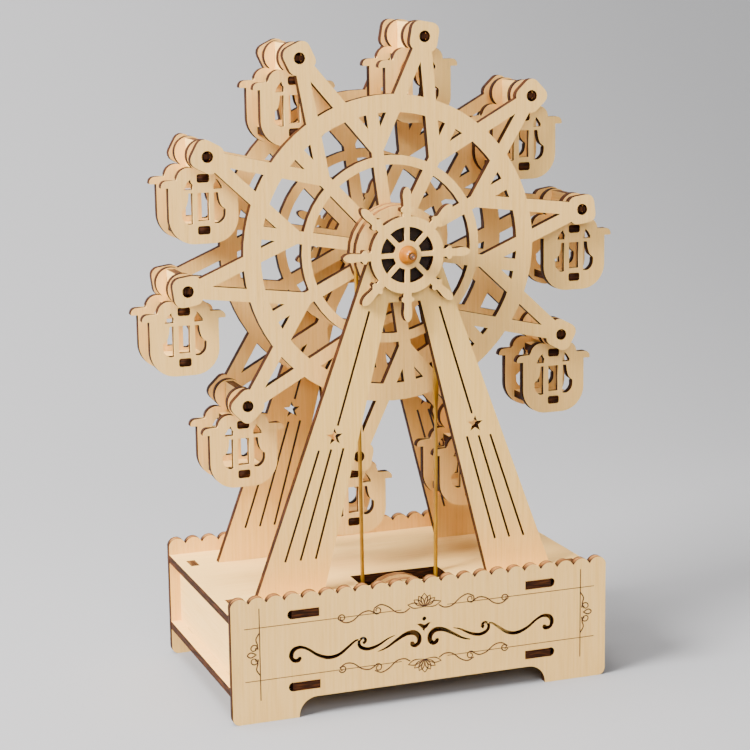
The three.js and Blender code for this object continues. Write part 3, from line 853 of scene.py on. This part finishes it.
def tabbed_plate(name, half_width, z):
    front_end = TAB_FRONT + TAB_REST
    back_end = TAB_BACK - TAB_REST
    right = [
        (TAB_HALF, front_end), (TAB_HALF, GAP_FRONT), (half_width, GAP_FRONT),
        (half_width, GAP_BACK), (TAB_HALF, GAP_BACK), (TAB_HALF, back_end),
    ]
    plate = cut_sheet(name, [right + mirrored(right)], PLY - 2 * FIT)
    settle(plate, (PIN.x, 0, PIN.z + z))
    give(plate, lying_ply)
    return plate


gondola_floor = tabbed_plate("gondola_floor", 8.5, LOWER_SLOT)
gondola_tie = tabbed_plate("gondola_tie", 4.2, UPPER_SLOT)

# %% [markdown]
# Each copy gets a mesh of its own, with its place in the mesh, so that a gondola can turn
# on its own pin. The three models are taken away at the end.

# %% Ten gondolas
panel_step = low("gondola_01_rear_panel").y - low("gondola_01_front_panel").y
for number in range(1, 11):
    body = f"gondola_{number:02d}"
    beam = f"{body}_axle_beam"
    shift = (low(beam) + high(beam)) / 2 - PIN
    shift.y = 0
    rear_shift = shift + Vector((0, panel_step, 0))
    parts = {
        f"{body}_front_cut": (gondola_panel, shift, f"{body}_front_panel"),
        f"{body}_rear_cut": (gondola_panel, rear_shift, f"{body}_rear_panel"),
        f"{body}_floor": (gondola_floor, shift, None),
        f"{body}_tie": (gondola_tie, shift, None),
    }
    for name, (model, move, node) in parts.items():
        piece = copy_of(model, name, move)
        if node:
            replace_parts(piece, node)
        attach(piece, body)
for model in (gondola_panel, gondola_floor, gondola_tie):
    bpy.data.objects.remove(model)
print("gondolas done")

# %% [markdown]
# ## Ship's wheel ornaments
# Each helm is one flat part: a boss, eight thin spokes, a ring, and eight handles that
# swell and taper as if they had been turned. One handle is drawn and turned round the
# boss by a loop.

# %% Helm
HELM_RING_OUTER = 13.4
HELM_RING_INNER = 9.7
HELM_BOSS = 5.0
HELM_SPOKE = 1.6
HELM_TIP = (high("front_helm").x - low("front_helm").x) / 2
BORE = 1.15
HANDLE = [
    (13.1, 1.35), (14.5, 1.35), (15.0, 2.3), (16.0, 2.3), (16.5, 1.3),
    (18.0, 1.3), (20.0, 1.55), (21.8, 1.3), (HELM_TIP - 0.35, 0.65), (HELM_TIP, 0.0),
]


def turned_by(points, degrees):
    c, s = math.cos(math.radians(degrees)), math.sin(math.radians(degrees))
    return [(x * c - y * s, x * s + y * c) for x, y in points]


def helm(name, middle_y, turn):
    profile = HANDLE[:5] + [p[:2] for p in smooth_line(HANDLE[4:], 5)][1:]
    handle = [(x, -y) for x, y in profile] + [(x, y) for x, y in reversed(profile[:-1])]
    rim, holes = [], [arc(0, 0, BORE, 0, 360, 20)[:-1]]
    inner = math.degrees(math.asin(HELM_SPOKE / 2 / HELM_BOSS))
    outer = math.degrees(math.asin(HELM_SPOKE / 2 / HELM_RING_INNER))
    root = math.degrees(math.asin(HANDLE[0][1] / HELM_RING_OUTER))
    for i in range(8):
        angle = turn + 45 * i
        rim += turned_by(handle, angle)
        rim += arc(0, 0, HELM_RING_OUTER, angle + root, angle + 45 - root, 8)[1:-1]
        hole = arc(0, 0, HELM_RING_INNER, angle + outer, angle + 45 - outer, 8)
        hole += arc(0, 0, HELM_BOSS, angle + 45 - inner, angle + inner, 4)
        holes.append(hole)
    piece = settle(cut_sheet(name, [rim] + holes), (0, middle_y, HUB.z), UPRIGHT)
    give(piece, standing_ply)
    return piece


front_helm = helm("front_helm_cut", low("front_helm").y + PLY / 2, 0)
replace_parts(front_helm, "front_helm")
rear_helm = helm("rear_helm_cut", low("rear_helm").y + PLY / 2, 20)
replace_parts(rear_helm, "rear_helm")
for piece in (front_helm, rear_helm):
    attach(piece, "wheel")
print("helm faces:", len(front_helm.data.polygons))

# %% [markdown]
# A thin dark disc lies on each A-frame behind the helm, which makes the helm's thin spokes
# stand out.

# %% Dark discs behind the helms
DARK_DISC_RADIUS = 10.4
DARK_DISC_BORE = 1.1


def dark_disc(name, face_y):
    outlines = [arc(0, 0, r, 0, 360, 72)[:-1] for r in (DARK_DISC_RADIUS, DARK_DISC_BORE)]
    disc = settle(cut_sheet(name, outlines, 2 * PROUD), (0, face_y, HUB.z), UPRIGHT)
    give(disc, dark_disc_finish)
    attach(disc, "base")
    return disc


dark_disc("front_dark_disc", low("front_a_frame").y)
dark_disc("rear_dark_disc", high("rear_a_frame").y)
print("burnt discs done")

# %% [markdown]
# ## End caps
# A moulded cap grips each end of the axle. It is a cylinder drawn in at the tip, with a
# rolled foot and a bore that the axle's worn end shows through.

# %% Caps
CAP_BASE = (high("front_cap").x - low("front_cap").x) / 2
CAP_LENGTH = high("front_cap").y - low("front_cap").y


def turned_piece(name, profile, base_y, outward, material):
    """Spins a profile of (radius, height) round the axle; outward is 1 in front, -1 behind."""
    half_section = [(radius, 0, height) for radius, height in profile]
    piece = as_mesh(drawn(name, [half_section], "3D"))
    bpy.ops.object.mode_set(mode="EDIT")
    bpy.ops.mesh.select_all(action="SELECT")
    bpy.ops.mesh.spin(steps=48, angle=2 * math.pi, center=(0, 0, 0), axis=(0, 0, 1))
    bpy.ops.object.mode_set(mode="OBJECT")
    tidy_shell(piece, 1e-3)
    bpy.ops.object.shade_smooth_by_angle(angle=math.radians(40))
    settle(piece, (0, base_y, HUB.z), (math.pi / 2 * outward, 0, 0))
    give(piece, material)
    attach(piece, "wheel")
    return piece


def cap(name, base_y, outward):
    profile = [
        (BORE, 0), (CAP_BASE - 0.2, 0), (CAP_BASE, 0.25), (CAP_BASE, 0.75),
        (CAP_BASE - 0.2, 1.1), (CAP_BASE * 0.84, CAP_LENGTH * 0.45),
        (CAP_BASE * 0.66, CAP_LENGTH * 0.78), (CAP_BASE * 0.55, CAP_LENGTH - 0.2),
        (CAP_BASE * 0.48, CAP_LENGTH), (BORE, CAP_LENGTH),
    ]
    piece = turned_piece(name, profile, base_y, outward, cap_vinyl)
    return piece


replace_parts(cap("front_cap_moulded", high("front_cap").y, 1), "front_cap")
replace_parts(cap("rear_cap_moulded", low("rear_cap").y, -1), "rear_cap")


def axle_tip(name, end_y, outward):
    """The axle's end: chamfered, with the dimple that the cutter leaves in the middle."""
    profile = [
        (0, -0.15), (0.3, -0.1), (0.45, 0.12), (0.7, 0.2), (0.92, 0.08), (0.98, -0.2),
        (0, -0.2),
    ]
    return turned_piece(name, profile, end_y, outward, pin_copper)


axle_tip("front_axle_tip", low("axle").y, 1)
axle_tip("rear_axle_tip", high("axle").y, -1)
print("caps done")

# %% [markdown]
# ## Rubber band
# The band is a flat loop that lies in both grooves. It has turned over once on the way
# down the left side and back again on the right, as a flat band does when it is slipped
# on. A flat section is swept along the loop, and the section's tilt makes the twist.

# %% Band
BAND_WIDTH = high("rubber_band").y - low("rubber_band").y
BAND_Y = (high("rubber_band").y + low("rubber_band").y) / 2
BAND_THICK = 0.9
GROOVE = (high("hub_core").x - low("hub_core").x) / 2
DRIVE_GROOVE = (high("drive_core").x - low("drive_core").x) / 2
DRIVE_Z = (high("drive_core").z + low("drive_core").z) / 2
STRAND_STEPS = 60


def band_path():
    """The band's middle line as (x, z, tilt in degrees), anticlockwise from the right."""
    upper = GROOVE + FIT + BAND_THICK / 2
    lower = DRIVE_GROOVE + FIT + BAND_THICK / 2
    lean = math.degrees(math.asin((upper - lower) / (HUB.z - DRIVE_Z)))
    top = arc(0, HUB.z, upper, -lean, 180 + lean, 48)
    bottom = arc(0, DRIVE_Z, lower, 180 + lean, 360 - lean, 48)

    def strand(start, end, first_tilt, last_tilt, centre, spread):
        points = []
        for i in range(1, STRAND_STEPS):
            part = i / STRAND_STEPS
            ease = min(max((part - centre) / spread + 0.5, 0), 1)
            ease = ease * ease * (3 - 2 * ease)
            x = start[0] + (end[0] - start[0]) * part
            z = start[1] + (end[1] - start[1]) * part
            points.append((x, z, first_tilt + (last_tilt - first_tilt) * ease))
        return points

    path = [(x, z, 0) for x, z in top]
    path += strand(top[-1], bottom[0], 0, 180, 0.32, 0.3)
    path += [(x, z, 180) for x, z in bottom]
    path += strand(bottom[-1], top[0], 180, 0, 0.62, 0.34)
    return path


def rubber_band():
    section = drawn("band_section", [
        bar(-BAND_THICK / 2, BAND_THICK / 2, -BAND_WIDTH / 2, BAND_WIDTH / 2, 0.2, 3),
    ])
    path = band_path()
    piece = drawn("rubber_band_loop", [[(x, z) for x, z, _ in path]], "3D")
    for point, (_, _, tilt) in zip(piece.data.splines[0].points, path):
        point.tilt = math.radians(tilt)
    piece.data.twist_mode = "Z_UP"
    piece.data.bevel_mode = "OBJECT"
    piece.data.bevel_object = section
    piece = as_mesh(piece)
    bpy.data.objects.remove(section)
    tidy_shell(piece, 1e-3)
    bpy.ops.object.shade_smooth_by_angle(angle=math.radians(35))
    return settle(piece, (0, BAND_Y, 0), UPRIGHT)


band = rubber_band()
give(band, band_rubber)
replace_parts(band, "rubber_band")
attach(band, "base")
size = [max(v.co[i] for v in band.data.vertices) - min(v.co[i] for v in band.data.vertices)
        for i in range(3)]
print("band size in mm:", [round(s / MM, 2) for s in size])

# %% [markdown]
# ## Studio
# The model stands on a round tray of pale paper that curls up into a low wall, so that no
# edge shows from any side. A large soft light comes from the upper left, weaker ones from
# the front and from above, and the surround is an even grey. The paper is painted darker
# towards the right: painted shade for the fall-off of the light from the left.

# %% Tray and lights
PAPER_LIT_SIDE = "8F8E8F"
PAPER_SHADED_SIDE = "727273"
TRAY_RADIUS, TRAY_WALL, TRAY_CURL = 2.5, 1.3, 1.2
TRAY_Y = -1.0
SURROUND = "E8E8EC"
SURROUND_STRENGTH = 0.32


def studio_sweep():
    """A round tray of paper: flat in the middle, curling up into a low wall all round."""
    bpy.ops.object.select_all(action="DESELECT")
    bpy.ops.mesh.primitive_circle_add(
        vertices=128, radius=TRAY_RADIUS, fill_type="NGON", location=(0, TRAY_Y, 0),
    )
    sweep = bpy.context.object
    sweep.name = "studio_sweep"
    bpy.ops.object.transform_apply(location=True)
    bpy.ops.object.mode_set(mode="EDIT")
    bpy.ops.mesh.select_mode(type="EDGE")
    bpy.ops.mesh.select_all(action="SELECT")
    bpy.ops.mesh.region_to_loop()
    bpy.ops.mesh.extrude_edges_move(TRANSFORM_OT_translate={"value": (0, 0, TRAY_WALL)})
    bpy.ops.mesh.select_all(action="DESELECT")
    bpy.ops.object.mode_set(mode="OBJECT")
    for edge in sweep.data.edges:
        edge.select = all(sweep.data.vertices[v].co.z < 1e-4 for v in edge.vertices)
    bpy.ops.object.mode_set(mode="EDIT")
    bpy.ops.mesh.bevel(offset=TRAY_CURL, segments=32, affect="EDGES")
    bpy.ops.mesh.select_all(action="SELECT")
    bpy.ops.mesh.normals_make_consistent(inside=True)
    bpy.ops.object.mode_set(mode="OBJECT")
    bpy.ops.object.shade_smooth()
    return sweep


sweep = studio_sweep()
paper, paper_tree, paper_shader = new_material("matt_backdrop_paper")
paper_place = add(paper_tree, "ShaderNodeTexCoord").outputs["Object"]
paper_side = add(paper_tree, "ShaderNodeSeparateXYZ", {"Vector": paper_place}).outputs["X"]
# Painted shade: the paper's colour darkens from the middle towards the right.
painted_falloff = add(paper_tree, "ShaderNodeMapRange", {
    "Value": paper_side, "From Min": 0.0, "From Max": 0.7,
}, interpolation_type="SMOOTHSTEP").outputs["Result"]
paper_tone = add(paper_tree, "ShaderNodeMix", {
    "Factor": painted_falloff, "A": colour(PAPER_LIT_SIDE), "B": colour(PAPER_SHADED_SIDE),
}, data_type="RGBA").outputs["Result"]
paper_tree.links.new(paper_tone, paper_shader.inputs["Base Color"])
paper_shader.inputs["Roughness"].default_value = 0.9
give(sweep, paper)


def soft_light(name, place, aim, size, power):
    data = bpy.data.lights.new(name, "AREA")
    data.shape = "DISK"
    data.size = size
    data.energy = power
    light = bpy.data.objects.new(name, data)
    bpy.context.scene.collection.objects.link(light)
    light.location = place
    light.rotation_euler = (Vector(aim) - Vector(place)).to_track_quat("-Z", "Y").to_euler()
    return light


soft_light("key_light", (-1.4, -0.35, 1.1), (0, 0, 0.1), 0.8, 130)
soft_light("front_light", (-0.3, -1.8, 1.15), (0, 0, 0.1), 1.2, 32)
soft_light("top_light", (-0.3, 0.1, 1.7), (0, 0, 0.1), 0.9, 50)

world = bpy.context.scene.world or bpy.data.worlds.new("surround")
bpy.context.scene.world = world
world.use_nodes = True
background = world.node_tree.nodes["Background"]
background.inputs["Color"].default_value = colour(SURROUND)
background.inputs["Strength"].default_value = SURROUND_STRENGTH
print("studio done")
